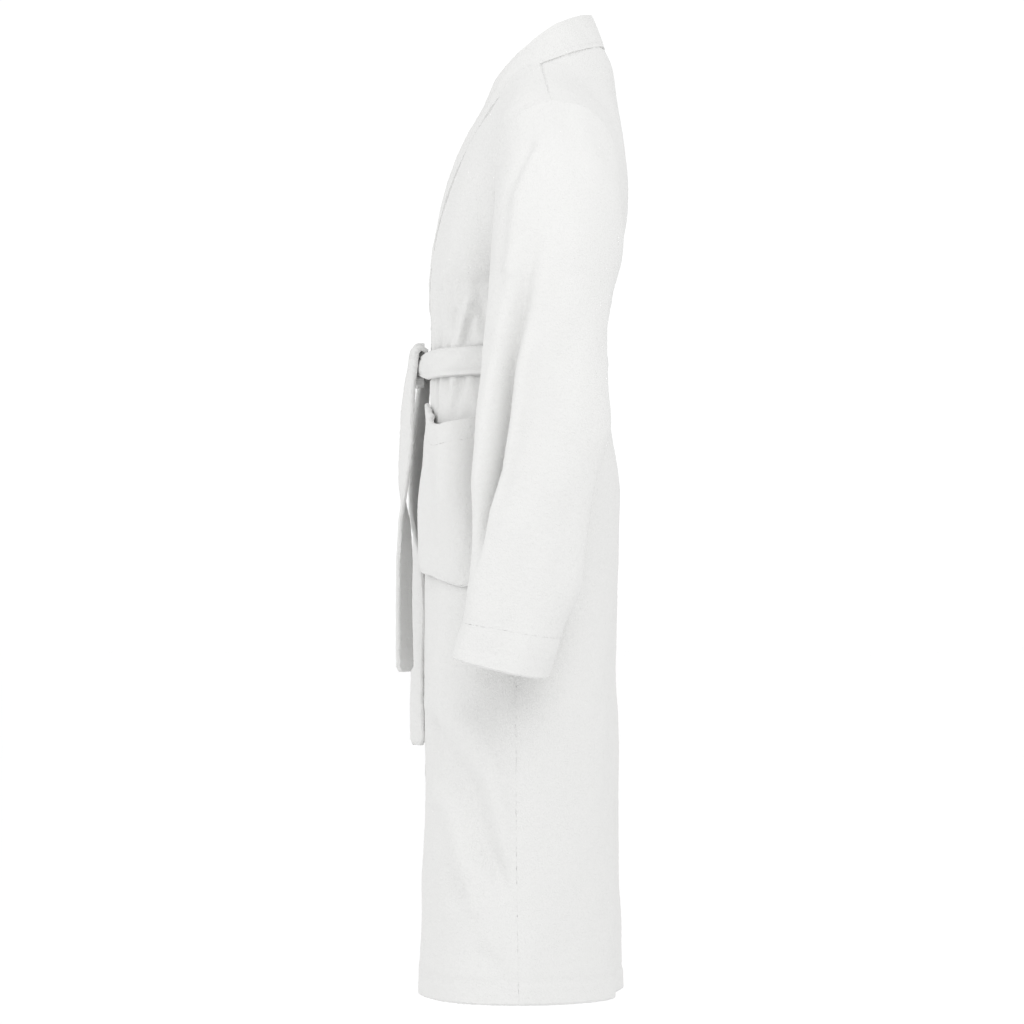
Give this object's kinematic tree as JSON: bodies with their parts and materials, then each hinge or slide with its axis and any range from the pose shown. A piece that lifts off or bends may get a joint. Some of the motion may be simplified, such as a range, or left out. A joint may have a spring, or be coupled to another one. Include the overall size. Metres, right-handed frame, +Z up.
{
  "type": "bathrobe",
  "caption": "Long terry bathrobe in kimono cut, wrapped left over right and tied with its belt, with long sleeves, collar band, patch pockets, belt loops and hanger loop.",
  "frame": {"origin": "centre back of the neck seam, where the collar band joins the back panel", "axes": "+X to the wearer's left, +Y to the wearer's back, +Z up; the robe hangs down from the origin"},
  "size_m": [0.705, 0.2929, 1.2463],
  "materials": {
    "terry": "white cotton terry, looped pile",
    "folded_terry": "white cotton terry, folded double and stitched",
    "woven_tape": "white woven cotton tape"
  },
  "bodies": {
    "robe_body": {"back_panel": "terry", "left_front_panel": "terry", "right_front_panel": "terry", "left_collar_band": "folded_terry", "right_collar_band": "folded_terry", "left_pocket": "terry", "right_pocket": "terry", "left_pocket_hem": "folded_terry", "right_pocket_hem": "folded_terry", "waist_belt": "folded_terry", "belt_knot": "folded_terry", "left_belt_loop": "folded_terry", "right_belt_loop": "folded_terry", "neck_label": "woven_tape", "care_label": "woven_tape"},
    "left_arm": {"left_sleeve": "terry", "left_cuff_hem": "folded_terry"},
    "right_arm": {"right_sleeve": "terry", "right_cuff_hem": "folded_terry"},
    "short_tail": {"belt_tail_left": "folded_terry"},
    "long_tail": {"belt_tail_right": "folded_terry"},
    "hanging_loop": {"hanger_loop": "woven_tape"}
  },
  "joints": [
    {"name": "left_sleeve_raise", "type": "hinge", "parent": "robe_body", "child": "left_arm", "pos_m": [0.252, -0.07, -0.081], "axis": [0, -1, 0], "range_deg": [0, 70]},
    {"name": "right_sleeve_raise", "type": "hinge", "parent": "robe_body", "child": "right_arm", "pos_m": [-0.252, -0.07, -0.081], "axis": [0, 1, 0], "range_deg": [0, 70]},
    {"name": "short_tail_swing", "type": "hinge", "parent": "robe_body", "child": "short_tail", "pos_m": [0.016, -0.241, -0.418], "axis": [-1, 0, 0], "range_deg": [0, 60]},
    {"name": "long_tail_swing", "type": "hinge", "parent": "robe_body", "child": "long_tail", "pos_m": [-0.028, -0.239, -0.418], "axis": [-1, 0, 0], "range_deg": [0, 60]},
    {"name": "hanger_loop_lift", "type": "hinge", "parent": "robe_body", "child": "hanging_loop", "pos_m": [0, -0.012, -0.003], "axis": [-1, 0, 0], "range_deg": [0, 140]}
  ]
}
